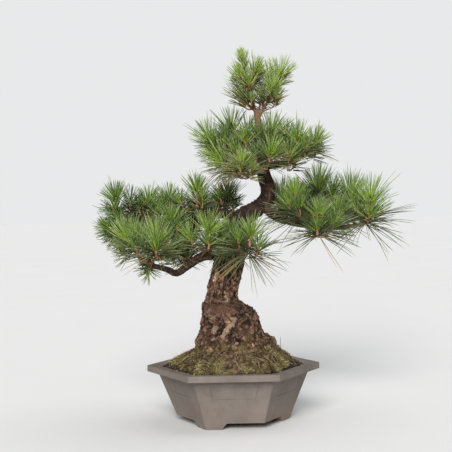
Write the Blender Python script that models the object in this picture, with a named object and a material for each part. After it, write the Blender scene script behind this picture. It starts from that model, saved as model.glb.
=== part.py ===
"""Pine bonsai in a six-sided unglazed clay pot.

Metres, +Z up, the flat front wall of the pot faces -Y. The origin is the bottom centre of the
whole object's box, on the plane of the feet. Heights in the tree tables are centimetres above
the pot's rim; sideways positions are centimetres from the pot's centre line.
"""
import math

import bmesh
import bpy
import numpy as np
from mathutils import Matrix, Vector, noise

# ---------------------------------------------------------------- driving dimensions
GAP = 0.0003                # clearance between neighbouring pieces

RIM_ACROSS = 0.355          # lip, outside corner to outside corner
POT_HEIGHT = 0.116          # ground to the top of the lip
LIP_HEIGHT = 0.0128
LIP_WIDTH = 0.020           # flat top of the lip, measured at a corner
LIP_OVERHANG = 0.0215       # lip corner beyond the wall corner below it
WALL_LEAN = 0.037           # a wall corner comes in by this much down to the floor's underside
WALL_THICKNESS = 0.010
FLOOR_THICKNESS = 0.011
RIM_SLOPE_DEPTH = 0.0098    # height of the slope from the lip's inner edge to the inner wall
FOOT_HEIGHT = 0.0128
FOOT_LENGTH = 0.032         # along each face, on the ground
FOOT_SPREAD = 0.0125        # how much longer a foot is where it joins the pot
FOOT_DEPTH = 0.018          # thickness of a foot, square to the wall
HOLE_RADIUS = 0.014
HOLE_RING_RADIUS = 0.050
PANEL_DROP = 0.013          # plain band between the lip and the sunk panel on each wall
PANEL_HEIGHT = 0.026
PANEL_SIDE = 0.028          # plain clay between a corner and the panel
PANEL_DEPTH = 0.0007

SCREEN_SIDE = 0.042
SCREEN_THICKNESS = 0.0012
SCREEN_HOLES = 5            # openings along one side of a drainage screen

SOIL_DROP = 0.006           # soil at the wall, below the rim
MOUND_HEIGHT = 0.060        # top of the mound above the soil at the wall
MOUND_POWER = 0.85
MOSS_THICKNESS = 0.006
MOSS_EDGE = 0.0025
MOSS_RIGHT_BANK = 0.026     # moss banked up against the right of the trunk
MOUND_SEGMENTS = 36
MOUND_RINGS = 6

TREE_SCALE = 1.0            # size of the tree above the rim
BARK_RELIEF = 0.045         # bark bumps as a share of the trunk's radius
TRUNK_SEGMENTS = 22
BRANCH_SEGMENTS = 7
TWIG_SEGMENTS = 5
TWIG_RADIUS = 0.0024
TWIG_NECK = 0.003           # straight end of a twig below its bud
BUD_RADIUS = 0.0055
BUD_SEGMENTS = 8
BUD_RINGS = 5
NEEDLE_UNEVEN = 0.14        # share by which a needle may fall short of its reach
NEEDLE_SPACE = 0.0008       # half the least distance between neighbouring needle tufts
WOOD_SPACE = 0.0008         # least distance from a needle to any wood

CM = 0.01
HEX = 6
EPS_CUT = 0.010             # how far a cutting tool runs past the face it opens
FOOT_CORNERS = (0, 2, 4)    # corners, counted anticlockwise from +X, that carry a foot

COLOURS = {
    "clay": ((0.262, 0.222, 0.200, 1.0), 0.85),
    "soil": ((0.030, 0.022, 0.016, 1.0), 0.97),
    "moss": ((0.170, 0.160, 0.035, 1.0), 0.95),
    "bark": ((0.105, 0.062, 0.040, 1.0), 0.92),
    "needles": ((0.060, 0.125, 0.022, 1.0), 0.55),
    "screen": ((0.020, 0.022, 0.022, 1.0), 0.60),
}

# height above rim, centre x, centre y, half width, half depth
TRUNK_BASE = (
    (-3.4, 0.5, 0.0, 6.4, 5.6),
    (-1.6, 0.6, 0.0, 7.4, 6.4),
    (0.9, 0.6, 0.0, 8.3, 7.2),
    (2.9, 0.6, 0.0, 8.3, 7.0),
    (4.4, 0.7, 0.0, 8.0, 6.6),
    (5.7, 0.0, 0.0, 7.1, 6.0),
    (6.9, -0.3, 0.0, 6.6, 5.6),
    (8.9, -0.6, 0.0, 6.1, 5.3),
    (10.7, -0.8, 0.0, 5.5, 5.0),
    (11.8, -1.4, 0.0, 4.8, 4.6),
    (12.7, -2.0, 0.1, 4.0, 4.1),
    (13.4, -2.1, 0.2, 3.4, 3.6),
    (14.7, -2.0, 0.2, 3.1, 3.2),
    (17.4, -1.4, 0.2, 3.25, 3.0),
    (20.4, -0.5, 0.1, 3.1, 2.9),
    (23.4, 0.0, 0.0, 2.8, 2.7),
)
TRUNK_TOP = (
    (26.4, 0.6, 0.0, 2.5, 2.4),
    (28.9, 1.6, 0.2, 2.2, 2.2),
    (30.4, 3.0, 0.3, 2.0, 2.0),
    (31.7, 5.3, 0.3, 1.8, 1.8),
    (33.5, 7.2, 0.2, 1.6, 1.6),
    (35.7, 7.8, 0.0, 1.5, 1.5),
    (38.5, 7.0, 0.0, 1.4, 1.4),
    (41.8, 6.4, 0.0, 1.2, 1.2),
    (45.4, 6.1, 0.0, 1.0, 1.0),
    (49.0, 6.0, 0.0, 0.75, 0.75),
    (51.6, 5.8, 0.0, 0.5, 0.5),
)

# name: (first radius, last radius, points as x, y, height above rim)
BRANCHES = {
    "low_left": (1.1, 0.4, ((-0.4, -0.5, 22.0), (-5.3, -3.0, 22.5), (-8.4, -5.0, 21.0),
                            (-11.0, -6.0, 19.3), (-12.7, -7.0, 20.1), (-15.5, -7.5, 21.0),
                            (-18.3, -8.0, 22.6))),
    "upper_left": (1.2, 0.4, ((2.6, 0.3, 29.6), (-3.2, 3.0, 31.2), (-7.5, 4.5, 30.0),
                              (-12.0, 4.0, 28.6), (-17.5, 4.0, 29.0), (-22.0, 2.5, 29.2))),
    "left_back": (0.75, 0.35, ((-4.6, 3.6, 30.9), (-8.0, 8.0, 28.0), (-12.0, 10.0, 26.5),
                               (-17.0, 9.5, 26.8))),
    "front": (0.9, 0.4, ((0.6, -0.5, 25.8), (0.5, -4.5, 23.6), (1.8, -8.2, 23.2))),
    "right": (1.1, 0.35, ((6.6, 0.2, 32.5), (9.6, -2.0, 30.0), (14.1, -3.0, 28.7),
                          (17.9, -3.5, 27.9), (23.1, -2.5, 27.8), (27.0, -2.5, 28.3))),
    "right_back": (0.8, 0.35, ((9.4, -1.8, 30.1), (11.0, 4.0, 29.7), (15.0, 9.0, 28.5),
                               (21.0, 10.0, 28.3))),
    "crown_left": (0.8, 0.4, ((6.4, 0.0, 41.2), (3.5, -1.0, 41.6), (0.2, -1.0, 42.6),
                              (-2.0, -1.0, 43.3))),
    "crown_front": (0.7, 0.4, ((6.9, 0.0, 39.0), (5.6, -4.2, 39.2), (4.0, -6.2, 38.7))),
    "crown_right": (0.8, 0.4, ((6.7, 0.0, 40.3), (10.3, -2.0, 40.8), (13.4, -1.5, 42.2),
                               (15.5, -0.5, 42.6))),
    "crown_back": (0.6, 0.35, ((6.3, 0.0, 42.8), (6.0, 4.0, 43.0), (4.0, 6.5, 42.6))),
    "leader": (0.4, 0.22, ((5.8, 0.0, 50.6), (4.9, 0.9, 54.0), (4.4, 0.9, 57.0),
                           (3.7, 0.6, 59.6))),
    "apex_right": (0.4, 0.22, ((5.9, 0.0, 50.2), (7.6, 0.4, 53.0), (9.3, 0.5, 56.0))),
}

# branch, bud position, direction of the new shoot, reach of upright and of spreading needles
TUFTS = {
    "left": (
        ("upper_left", (-23.5, 3.0, 32.8), (-0.20, 0.0, 1.0), 5.6, 4.8),
        ("upper_left", (-17.2, 5.0, 32.3), (0.05, 0.1, 1.0), 5.2, 4.5),
        ("upper_left", (-12.8, 9.0, 32.8), (0.0, 0.2, 1.0), 5.0, 5.0),
        ("upper_left", (-6.8, 1.0, 34.0), (0.0, -0.1, 1.0), 5.4, 5.0),
        ("upper_left", (-0.5, 5.5, 33.6), (0.0, 0.1, 1.0), 5.2, 4.6),
        ("low_left", (-20.0, -8.0, 25.6), (-0.45, -0.2, 1.0), 7.0, 7.2),
        ("low_left", (-14.7, -11.0, 24.6), (0.05, -0.3, 1.0), 6.6, 7.5),
        ("upper_left", (-12.0, -2.0, 28.4), (0.05, -0.2, 1.0), 5.4, 5.4),
        ("low_left", (-4.6, -7.2, 26.2), (0.15, -0.3, 1.0), 6.4, 6.2),
        ("low_left", (-9.6, -3.0, 23.6), (0.0, -0.2, 1.0), 5.0, 6.0),
        ("low_left", (-16.6, -5.0, 20.2), (-0.2, 0.3, -1.0), 4.4, 4.0),
        ("upper_left", (-24.0, 0.0, 27.8), (-0.8, -0.2, 0.5), 4.8, 5.0),
        ("upper_left", (-5.4, 9.0, 30.8), (0.0, 0.4, 1.0), 5.0, 6.0),
        ("left_back", (-19.4, 10.5, 28.8), (-0.3, 0.3, 1.0), 5.5, 6.0),
        ("left_back", (-10.9, 13.0, 27.6), (0.0, 0.5, 1.0), 5.5, 7.0),
    ),
    "front": (
        ("front", (3.7, -11.0, 25.5), (0.15, -0.3, 1.0), 5.6, 9.2),
        ("front", (-0.2, -5.0, 26.2), (-0.1, -0.4, 0.6), 4.6, 6.5),
    ),
    "right": (
        ("right", (13.1, -6.0, 32.3), (-0.1, -0.2, 1.0), 6.8, 9.0),
        ("right", (17.4, -8.0, 28.9), (0.0, -0.3, 1.0), 5.4, 9.6),
        ("right", (18.1, 1.0, 34.6), (0.0, 0.0, 1.0), 7.4, 5.5),
        ("right", (25.1, 5.0, 33.2), (0.1, 0.2, 1.0), 7.0, 6.5),
        ("right", (27.8, -3.0, 31.0), (0.2, -0.1, 1.0), 7.8, 9.6),
        ("right", (21.6, -2.6, 30.0), (0.2, -0.2, 1.0), 5.0, 5.5),
        ("right_back", (11.1, 5.0, 32.6), (-0.2, 0.2, 1.0), 6.5, 6.0),
        ("right_back", (23.6, 11.0, 30.7), (0.3, 0.4, 1.0), 6.0, 7.0),
        ("right_back", (16.1, 12.0, 31.2), (0.0, 0.5, 1.0), 6.0, 7.0),
    ),
    "crown": (
        ("crown_left", (-3.5, -1.0, 45.2), (-0.5, -0.1, 1.0), 6.2, 5.4),
        ("crown_left", (0.6, 2.0, 47.5), (0.0, 0.2, 1.0), 5.2, 4.6),
        ("trunk", (8.4, -1.0, 46.2), (0.20, -0.2, 1.0), 6.8, 6.0),
        ("crown_right", (13.9, -3.4, 44.6), (-0.1, -0.2, 1.0), 5.4, 4.6),
        ("crown_right", (17.4, 1.6, 44.6), (0.4, 0.1, 1.0), 5.2, 5.8),
        ("crown_left", (-0.8, -4.0, 41.0), (-0.6, -0.4, 0.5), 6.0, 7.0),
        ("crown_front", (2.6, -8.0, 40.4), (0.0, -0.2, 1.0), 3.4, 6.0),
        ("crown_front", (8.0, -8.0, 41.9), (0.2, -0.4, 1.0), 5.4, 6.0),
        ("crown_right", (11.8, -5.2, 41.6), (0.1, -0.4, 0.8), 4.6, 5.6),
        ("crown_left", (3.2, -3.4, 45.0), (0.0, -0.2, 1.0), 4.8, 4.6),
        ("crown_right", (11.6, 3.0, 45.2), (0.1, 0.3, 1.0), 5.2, 5.4),
        ("crown_back", (7.0, 8.0, 44.4), (0.1, 0.5, 1.0), 5.2, 6.4),
        ("crown_back", (0.8, 7.6, 43.9), (-0.3, 0.4, 1.0), 5.2, 6.4),
    ),
    "apex": (
        ("trunk", (3.5, -0.9, 54.3), (-0.4, -0.2, 1.0), 5.6, 5.4),
        ("leader", (2.9, -0.7, 57.8), (-0.3, -0.3, 1.0), 4.6, 3.4),
        ("leader", (3.2, 0.4, 61.5), (-0.15, 0.0, 1.0), 3.3, 2.8),
        ("trunk", (6.7, 2.4, 54.6), (0.1, 0.4, 1.0), 4.4, 4.0),
        ("apex_right", (8.7, -1.6, 54.6), (0.2, -0.3, 1.0), 4.8, 4.6),
        ("apex_right", (10.3, 0.3, 58.0), (0.35, 0.0, 1.0), 5.4, 4.4),
        ("leader", (5.3, -0.2, 58.9), (0.30, -0.1, 1.0), 4.4, 3.4),
    ),
}

# ---------------------------------------------------------------- derived sizes
RIM_R = RIM_ACROSS / 2
LIP_BOTTOM = POT_HEIGHT - LIP_HEIGHT
WALL_TOP_R = RIM_R - LIP_OVERHANG
WALL_SLOPE = WALL_LEAN / (LIP_BOTTOM - FOOT_HEIGHT)
APOTHEM = math.cos(math.pi / HEX)
FLOOR_TOP = FOOT_HEIGHT + FLOOR_THICKNESS
SLOPE_BOTTOM = POT_HEIGHT - RIM_SLOPE_DEPTH
SOIL_EDGE_Z = POT_HEIGHT - SOIL_DROP


def clear_scene():
    for obj in list(bpy.data.objects):
        bpy.data.objects.remove(obj, do_unlink=True)


def make_material(name):
    colour, roughness = COLOURS[name]
    material = bpy.data.materials.new(name)
    material.use_nodes = True
    shader = material.node_tree.nodes["Principled BSDF"]
    shader.inputs["Base Color"].default_value = colour
    shader.inputs["Roughness"].default_value = roughness
    shader.inputs["Metallic"].default_value = 0.0
    return material


def add_object(name, bm, material=None, smooth=False):
    bmesh.ops.recalc_face_normals(bm, faces=bm.faces)
    mesh = bpy.data.meshes.new(name)
    bm.to_mesh(mesh)
    bm.free()
    for polygon in mesh.polygons:
        polygon.use_smooth = smooth
    obj = bpy.data.objects.new(name, mesh)
    bpy.context.scene.collection.objects.link(obj)
    if material:
        mesh.materials.append(material)
    return obj


def apply_boolean(obj, tool, operation, own=False):
    tool.hide_render = True
    tool.display_type = "WIRE"
    modifier = obj.modifiers.new(tool.name, "BOOLEAN")
    modifier.operation = operation
    modifier.solver = "EXACT"
    modifier.use_self = own
    modifier.object = tool


def loft(bm, rings, close_start=True, close_end=True):
    """Skin a list of equal-length closed point rings; the ends get one face each."""
    levels = [[bm.verts.new(point) for point in ring] for ring in rings]
    count = len(levels[0])
    for lower, upper in zip(levels, levels[1:]):
        for i in range(count):
            j = (i + 1) % count
            bm.faces.new((lower[i], lower[j], upper[j], upper[i]))
    if close_start:
        bm.faces.new(list(reversed(levels[0])))
    if close_end:
        bm.faces.new(levels[-1])
    return levels


def cap_with_point(bm, ring, point, upward):
    centre = bm.verts.new(point)
    count = len(ring)
    for i in range(count):
        edge = (ring[i], ring[(i + 1) % count])
        bm.faces.new((*edge, centre) if upward else (*reversed(edge), centre))


# ---------------------------------------------------------------- pot
def wall_radius(z):
    """Corner radius of the outside of the wall at a height."""
    return WALL_TOP_R - (LIP_BOTTOM - z) * WALL_SLOPE


def inner_radius(z):
    """Corner radius of the inside of the pot at a height, the rim's slope included."""
    wall_inside = wall_radius(min(z, SLOPE_BOTTOM)) - WALL_THICKNESS / APOTHEM
    if z <= SLOPE_BOTTOM:
        return wall_inside
    share = (z - SLOPE_BOTTOM) / RIM_SLOPE_DEPTH
    return wall_inside + share * (RIM_R - LIP_WIDTH - wall_inside)


def hex_ring(radius, z):
    corners = [2 * math.pi * i / HEX for i in range(HEX)]
    return [Vector((radius * math.cos(a), radius * math.sin(a), z)) for a in corners]


def face_frame(index):
    """Turn of a wall: +X outwards from its middle, +Y along it."""
    return Matrix.Rotation(2 * math.pi * (index + 0.5) / HEX, 4, "Z")


def face_block(name, index, bottom, top):
    """A tool set square to one wall. Each level is (z, out from, out to, along from, along to)."""
    bm = bmesh.new()
    frame = face_frame(index)
    rings = []
    for z, near, far, start, end in (bottom, top):
        corners = ((near, start), (far, start), (far, end), (near, end))
        rings.append([frame @ Vector((x, y, z)) for x, y in corners])
    loft(bm, rings)
    return add_object(name, bm)


def foot_gap_tool(index):
    """Opens the space between two feet along one wall; the foot ends lean outwards."""
    reverse = -1 if index in FOOT_CORNERS else 1
    levels = []
    for z in (-EPS_CUT, FOOT_HEIGHT):
        foot = FOOT_LENGTH + FOOT_SPREAD * z / FOOT_HEIGHT
        end = reverse * (wall_radius(z) / 2 - foot)
        side = -reverse * (wall_radius(z) / 2 + EPS_CUT)
        inside = wall_radius(0) * APOTHEM - FOOT_DEPTH - EPS_CUT
        outside = wall_radius(FOOT_HEIGHT) + EPS_CUT
        levels.append((z, inside, outside, min(side, end), max(side, end)))
    return face_block(f"foot_gap_tool_{index}", index, *levels)


def panel_tool(index):
    """Sinks a shallow panel into one wall."""
    levels = []
    top = LIP_BOTTOM - PANEL_DROP
    for z in (top - PANEL_HEIGHT, top):
        surface = wall_radius(z) * APOTHEM
        half = wall_radius(z) / 2 - PANEL_SIDE
        levels.append((z, surface - PANEL_DEPTH, surface + EPS_CUT, -half, half))
    return face_block(f"panel_tool_{index}", index, *levels)


def hole_centres():
    """Middles of the drainage holes, each towards a foot."""
    angles = [2 * math.pi * corner / HEX for corner in FOOT_CORNERS]
    return [Vector((math.cos(a), math.sin(a), 0)) * HOLE_RING_RADIUS for a in angles]


def hole_tool(index, centre):
    bm = bmesh.new()
    place = Matrix.Translation(centre + Vector((0, 0, FOOT_HEIGHT + FLOOR_THICKNESS / 2)))
    bmesh.ops.create_cone(bm, cap_ends=True, segments=24, radius1=HOLE_RADIUS,
                          radius2=HOLE_RADIUS, depth=FLOOR_THICKNESS + EPS_CUT, matrix=place)
    return add_object(f"drain_tool_{index}", bm)


def underside_tool():
    bm = bmesh.new()
    radius = wall_radius(0) - FOOT_DEPTH / APOTHEM
    loft(bm, [hex_ring(radius, -EPS_CUT), hex_ring(radius, FOOT_HEIGHT)])
    return add_object("underside_tool", bm)


def build_pot(material):
    profile = (
        (wall_radius(0), 0.0),
        (WALL_TOP_R, LIP_BOTTOM),
        (RIM_R, LIP_BOTTOM),
        (RIM_R, POT_HEIGHT),
        (RIM_R - LIP_WIDTH, POT_HEIGHT),
        (inner_radius(SLOPE_BOTTOM), SLOPE_BOTTOM),
        (inner_radius(FLOOR_TOP), FLOOR_TOP),
    )
    bm = bmesh.new()
    loft(bm, [hex_ring(radius, z) for radius, z in profile])
    pot = add_object("pot", bm, material)
    apply_boolean(pot, underside_tool(), "DIFFERENCE")
    for index in range(HEX):
        apply_boolean(pot, foot_gap_tool(index), "DIFFERENCE")
        apply_boolean(pot, panel_tool(index), "DIFFERENCE")
    for index, centre in enumerate(hole_centres()):
        apply_boolean(pot, hole_tool(index, centre), "DIFFERENCE")
    return pot


# ---------------------------------------------------------------- drainage screens
def screen_lines():
    """Edges of the screen's strands along one side, strands and openings taking turns."""
    strand = SCREEN_SIDE / (3 * SCREEN_HOLES + 1)
    lines = [-SCREEN_SIDE / 2]
    for _ in range(SCREEN_HOLES):
        lines += [lines[-1] + strand, lines[-1] + 3 * strand]
    lines.append(SCREEN_SIDE / 2)
    return lines


def build_screen(index, centre, material):
    """A square plastic mesh lying over one drainage hole."""
    bm = bmesh.new()
    lines = screen_lines()
    cells = range(len(lines) - 1)
    bottom = FLOOR_TOP + GAP
    for i in cells:
        for j in cells:
            if i % 2 and j % 2:
                continue
            x0, x1, y0, y1 = lines[i], lines[i + 1], lines[j], lines[j + 1]
            corners = ((x0, y0), (x1, y0), (x1, y1), (x0, y1))
            bm.faces.new([bm.verts.new((x, y, bottom)) for x, y in corners])
    bmesh.ops.remove_doubles(bm, verts=bm.verts, dist=GAP / 10)
    raised = bmesh.ops.extrude_face_region(bm, geom=list(bm.faces))
    top = [item for item in raised["geom"] if isinstance(item, bmesh.types.BMVert)]
    bmesh.ops.translate(bm, verts=top, vec=(0, 0, SCREEN_THICKNESS))
    bmesh.ops.translate(bm, verts=bm.verts, vec=centre)
    return add_object(f"drain_screen_{index + 1}", bm, material)


def screen_pocket_tool(index, centre):
    """Room in the soil for a screen."""
    bm = bmesh.new()
    height = SCREEN_THICKNESS + 2 * GAP + EPS_CUT
    side = SCREEN_SIDE + 2 * GAP
    middle = FLOOR_TOP + GAP + SCREEN_THICKNESS + GAP - height / 2
    size = Matrix.Diagonal((side, side, height, 1))
    bmesh.ops.create_cube(bm, size=1, matrix=Matrix.Translation(
        centre + Vector((0, 0, middle))) @ size)
    return add_object(f"screen_pocket_tool_{index}", bm)


# ---------------------------------------------------------------- soil and moss
def hex_reach(angle):
    """Distance from the centre to a unit hexagon's edge."""
    turn = math.pi / 3
    local = (angle % turn) - turn / 2
    return APOTHEM / math.cos(local)


def mound_angles():
    return [2 * math.pi * i / MOUND_SEGMENTS for i in range(MOUND_SEGMENTS)]


def moss_reach(angle):
    """How far the moss spreads, as a share of the way to the wall."""
    ragged = 0.02 * noise.noise(Vector((3 * math.cos(angle), 3 * math.sin(angle), 7.0)))
    front = max(0.0, -math.sin(angle))
    right_corner = math.exp(-(math.sin(angle / 2) / 0.14) ** 2)
    left_corner = math.exp(-(math.cos(angle / 2) / 0.20) ** 2)
    return 0.93 + 0.04 * front - 0.11 * right_corner - 0.05 * left_corner + ragged


def mound_point(angle, share, lift=0.0):
    """A point of the soil's top; share runs from the centre to the wall."""
    reach = inner_radius(SOIL_EDGE_Z) - 2 * GAP
    x = share * reach * hex_reach(angle) * math.cos(angle)
    y = share * reach * hex_reach(angle) * math.sin(angle)
    z = SOIL_EDGE_Z + MOUND_HEIGHT * (1 - share) ** MOUND_POWER
    return Vector((x, y, z + lift))


def mound_rings(lift=0.0):
    """Rings of the soil's top from the moss's edge inwards."""
    shares = [1 - ring / MOUND_RINGS for ring in range(MOUND_RINGS)]
    rings = []
    for share in shares:
        rings.append([mound_point(a, share * moss_reach(a), lift) for a in mound_angles()])
    return rings


def moss_lift(point, share, angle):
    """Thickness of the moss: thin at its edge, lumpy, fuller on the right of the trunk."""
    lump = 0.5 + noise.noise(point * 60.0)
    right = max(0.0, math.cos(angle)) * math.sqrt(share * (1 - share))
    full = MOSS_THICKNESS * (0.8 + 0.4 * lump) + MOSS_RIGHT_BANK * right
    rise = min(1.0, (1 - share) * MOUND_RINGS / 2)
    return MOSS_EDGE + (full - MOSS_EDGE) * rise


def build_soil(material, trunk_tool):
    edge = [mound_point(a, 1.0) for a in mound_angles()]
    bottom_z = FLOOR_TOP + GAP
    ratio_slope = (inner_radius(SLOPE_BOTTOM) - 2 * GAP) / (inner_radius(SOIL_EDGE_Z) - 2 * GAP)
    ratio_floor = (inner_radius(bottom_z) - 2 * GAP) / (inner_radius(SOIL_EDGE_Z) - 2 * GAP)
    slope = [Vector((p.x * ratio_slope, p.y * ratio_slope, SLOPE_BOTTOM)) for p in edge]
    floor = [Vector((p.x * ratio_floor, p.y * ratio_floor, bottom_z)) for p in edge]
    bm = bmesh.new()
    levels = loft(bm, [floor, slope, edge] + mound_rings(), True, False)
    cap_with_point(bm, levels[-1], mound_point(0.0, 0.0), True)
    soil = add_object("soil", bm, material, smooth=True)
    apply_boolean(soil, trunk_tool, "DIFFERENCE")
    for index, centre in enumerate(hole_centres()):
        apply_boolean(soil, screen_pocket_tool(index, centre), "DIFFERENCE")
    return soil


def build_moss(material, trunk_tool):
    under = mound_rings(GAP)
    over = []
    for row, ring in enumerate(under):
        share = 1 - row / MOUND_RINGS
        lifted = []
        for angle, point in zip(mound_angles(), ring):
            lifted.append(point + Vector((0, 0, moss_lift(point, share, angle))))
        over.append(lifted)
    bm = bmesh.new()
    levels = loft(bm, list(reversed(under)) + over, False, False)
    cap_with_point(bm, levels[0], mound_point(0.0, 0.0, GAP), False)
    cap_with_point(bm, levels[-1], mound_point(0.0, 0.0, GAP + MOSS_THICKNESS), True)
    moss = add_object("moss", bm, material, smooth=True)
    apply_boolean(moss, trunk_tool, "DIFFERENCE")
    return moss


# ---------------------------------------------------------------- wood
def tree_point(x, y, height):
    """Table centimetres to metres; below the rim nothing is scaled up or down in height."""
    scale = CM * TREE_SCALE
    return Vector((x * scale, y * scale, POT_HEIGHT + height * scale))


def trunk_stations():
    rows = TRUNK_BASE + TRUNK_TOP
    scale = CM * TREE_SCALE
    return [(tree_point(x, y, z), a * scale, b * scale) for z, x, y, a, b in rows]


def refine(stations, steps):
    """Catmull-Rom points between stations of (position, half width, half depth)."""
    rows = [np.array([*p, a, b]) for p, a, b in stations]
    rows = [2 * rows[0] - rows[1]] + rows + [2 * rows[-1] - rows[-2]]
    out = []
    for i in range(1, len(rows) - 2):
        p0, p1, p2, p3 = rows[i - 1:i + 3]
        for step in range(steps):
            t = step / steps
            out.append(0.5 * (2 * p1 + (p2 - p0) * t + (2 * p0 - 5 * p1 + 4 * p2 - p3) * t * t
                              + (3 * p1 - p0 - 3 * p2 + p3) * t ** 3))
    out.append(rows[-2])
    return [(Vector(row[:3]), row[3], row[4]) for row in out]


def bark_factor(angle, point, strength):
    """Bumps of the bark as a factor on the radius."""
    where = Vector((1.4 * math.cos(angle), 1.4 * math.sin(angle), point.z * 45.0))
    return 1 + strength * noise.noise(where)


def trunk_rings(extra=0.0):
    """Trunk outline; its lower rings stay level and the upper ones turn with the stem."""
    stations = refine(trunk_stations(), 2)
    level_until = stations[2 * len(TRUNK_BASE) - 4][0].z
    bark_from = POT_HEIGHT + 4.4 * CM * TREE_SCALE
    rings = []
    for i, (point, half_width, half_depth) in enumerate(stations):
        ahead = stations[min(i + 1, len(stations) - 1)][0]
        behind = stations[max(i - 1, 0)][0]
        turn = min(1.0, max(0.0, (point.z - level_until) / (6 * CM)))
        tangent = Vector((0, 0, 1)).lerp((ahead - behind).normalized(), turn).normalized()
        side = Vector((0, 1, 0)).cross(tangent).normalized()
        depth = tangent.cross(side)
        strength = BARK_RELIEF if point.z > bark_from else 0.0
        ring = []
        for k in range(TRUNK_SEGMENTS):
            angle = 2 * math.pi * k / TRUNK_SEGMENTS
            factor = bark_factor(angle, point, strength)
            reach_side = (half_width * factor + extra) * math.cos(angle)
            reach_depth = (half_depth * factor + extra) * math.sin(angle)
            ring.append(point + side * reach_side + depth * reach_depth)
        rings.append(ring)
    return rings


def tube_rings(path, radii, segments):
    """Round rings along a path, with frames that do not twist."""
    rings = []
    side = Vector((0, 0, 1))
    for i, point in enumerate(path):
        tangent = (path[min(i + 1, len(path) - 1)] - path[max(i - 1, 0)]).normalized()
        side = side - tangent * side.dot(tangent)
        if side.length < 0.1:
            side = tangent.orthogonal()
        side.normalize()
        depth = tangent.cross(side)
        angles = [2 * math.pi * k / segments for k in range(segments)]
        rings.append([point + (side * math.cos(a) + depth * math.sin(a)) * radii[i]
                      for a in angles])
    return rings


def branch_path(name):
    """Points and radii of a branch, in metres."""
    if name == "trunk":
        stations = refine(trunk_stations(), 2)[2 * len(TRUNK_BASE):]
        return [p for p, a, b in stations], [min(a, b) for p, a, b in stations]
    first, last, points = BRANCHES[name]
    scale = CM * TREE_SCALE
    stations = [(tree_point(*p), 0.0, 0.0) for p in points]
    path = [p for p, a, b in refine(stations, 3)]
    shares = [i / (len(path) - 1) for i in range(len(path))]
    return path, [(first + (last - first) * s) * scale for s in shares]


def twig_path(branch, bud, aim):
    """A twig from the nearest lower point of its branch up into a bud."""
    path, radii = branch_path(branch)
    end = bud - aim * (BUD_RADIUS + GAP)
    costs = [(p - end).length + 0.6 * max(0.0, p.z - end.z) for p in path]
    start = path[costs.index(min(costs))]
    neck = end - aim * TWIG_NECK
    bend = neck - aim * (neck - start).length * 0.45
    points = []
    for t in (0.0, 0.35, 0.7, 1.0):
        points.append(start * (1 - t) ** 2 + bend * 2 * t * (1 - t) + neck * t * t)
    points.append(end)
    thin = TWIG_RADIUS * TREE_SCALE
    return points, [thin * 1.35, thin * 1.2, thin, thin * 0.9, thin * 0.9]


def tuft_list():
    """Every needle tuft as (name, branch, bud centre, aim, upright reach, spread reach)."""
    tufts = []
    scale = CM * TREE_SCALE
    for group, rows in TUFTS.items():
        for number, (branch, bud, aim, upright, spread) in enumerate(rows, 1):
            place = tree_point(*bud)
            tufts.append((f"needles_{group}_{number:02d}", branch, place,
                          Vector(aim).normalized(), upright * scale, spread * scale))
    return tufts


def build_trunk(material, tufts):
    """Trunk, branches and twigs, grown as one piece."""
    bm = bmesh.new()
    loft(bm, trunk_rings())
    trunk = add_object("trunk", bm, material, smooth=True)
    bm = bmesh.new()
    for name in BRANCHES:
        path, radii = branch_path(name)
        loft(bm, tube_rings(path, radii, BRANCH_SEGMENTS))
    branches = add_object("branch_tool", bm)
    bm = bmesh.new()
    for name, branch, bud, aim, upright, spread in tufts:
        path, radii = twig_path(branch, bud, aim)
        loft(bm, tube_rings(path, radii, TWIG_SEGMENTS))
    twigs = add_object("twig_tool", bm)
    apply_boolean(trunk, branches, "UNION", own=True)
    apply_boolean(trunk, twigs, "UNION", own=True)
    return trunk


def trunk_room_tool():
    """The trunk's outline with clearance, to open the soil and the moss round it."""
    bm = bmesh.new()
    rings = trunk_rings(2 * GAP)
    rings = rings[:2 * len(TRUNK_BASE)]
    lowest = [point - Vector((0, 0, GAP)) for point in rings[0]]
    loft(bm, [lowest] + rings)
    return add_object("trunk_room_tool", bm)


# ---------------------------------------------------------------- needles
def wood_capsules(tufts):
    """All wood as short straight rounds: starts, ends and radii."""
    starts, ends, radii = [], [], []
    paths = [branch_path(name) for name in BRANCHES]
    paths += [twig_path(tuft[1], tuft[2], tuft[3]) for tuft in tufts]
    trunk = refine(trunk_stations(), 2)
    paths.append(([p for p, a, b in trunk], [max(a, b) * (1 + BARK_RELIEF) for p, a, b in trunk]))
    for path, widths in paths:
        for i in range(len(path) - 1):
            starts.append(path[i])
            ends.append(path[i + 1])
            radii.append(max(widths[i], widths[i + 1]))
    return np.array(starts), np.array(ends), np.array(radii)


def wood_clearance(points, wood):
    """Least distance from each point to the surface of the wood."""
    starts, ends, radii = wood
    along = ends - starts
    offset = points[:, None, :] - starts[None, :, :]
    share = np.einsum("ijk,jk->ij", offset, along) / np.einsum("jk,jk->j", along, along)
    nearest = starts[None] + np.clip(share, 0, 1)[:, :, None] * along[None]
    gaps = np.linalg.norm(points[:, None, :] - nearest, axis=2) - radii[None]
    return gaps.min(axis=1)


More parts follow.
